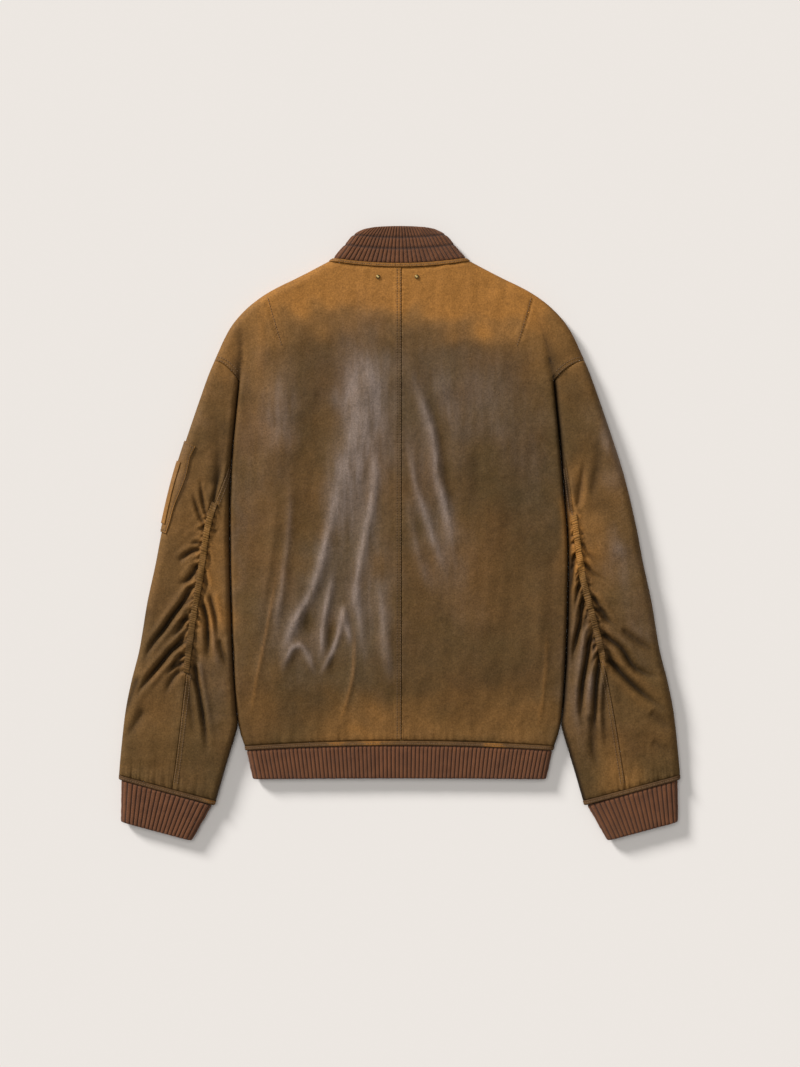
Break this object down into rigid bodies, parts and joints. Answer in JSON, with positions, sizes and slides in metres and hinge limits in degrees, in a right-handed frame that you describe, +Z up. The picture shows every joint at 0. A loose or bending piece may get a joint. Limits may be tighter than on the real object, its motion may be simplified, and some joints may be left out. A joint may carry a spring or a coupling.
{
  "type": "worn leather jacket",
  "caption": "Worn brown leather bomber jacket laid flat on its front, back up, with rib-knit collar, cuffs and hem and gathered elbow seams.",
  "frame": {"origin": "middle of the garment's outline, on the surface that its front lies on", "axes": "+Z up through the back of the jacket, +Y from the hem to the collar, -X towards the wearer's left"},
  "size_m": [0.761, 0.8338, 0.0277],
  "materials": {
    "leather": "worn satin nappa, brown fading to tan",
    "edge_leather": "folded dark brown binding, scuffed",
    "rubbed_leather": "gathered leather rubbed to tan",
    "rib_knit": "matte reddish-brown wool rib knit",
    "zip_cloth": "matte woven tape",
    "brass": "aged antique brass"
  },
  "bodies": {
    "jacket": {"back_left": "leather", "front_left": "leather", "sleeve_left_outer": "leather", "sleeve_left_under": "leather", "elbow_tape_left": "rubbed_leather", "cuff_strip_left": "edge_leather", "cuff_rib_left": "rib_knit", "zip_tape_left": "zip_cloth", "stud_left": "brass", "back_right": "leather", "front_right": "leather", "sleeve_right_outer": "leather", "sleeve_right_under": "leather", "elbow_tape_right": "rubbed_leather", "cuff_strip_right": "edge_leather", "cuff_rib_right": "rib_knit", "zip_tape_right": "zip_cloth", "stud_right": "brass", "sleeve_pocket": "leather", "sleeve_pen_slots": "leather", "hem_strip": "edge_leather", "hem_rib": "rib_knit", "neck_strip": "edge_leather", "collar_rib": "rib_knit", "zip_chain": "brass", "zip_slider": "brass"},
    "zip_pull": {"zip_pull": "brass"}
  },
  "joints": [
    {"name": "pull_swing", "type": "hinge", "parent": "jacket", "child": "zip_pull", "pos_m": [0.003, 0.324, 0.002], "axis": [1, 0, 0], "range_deg": [0, 150]}
  ]
}
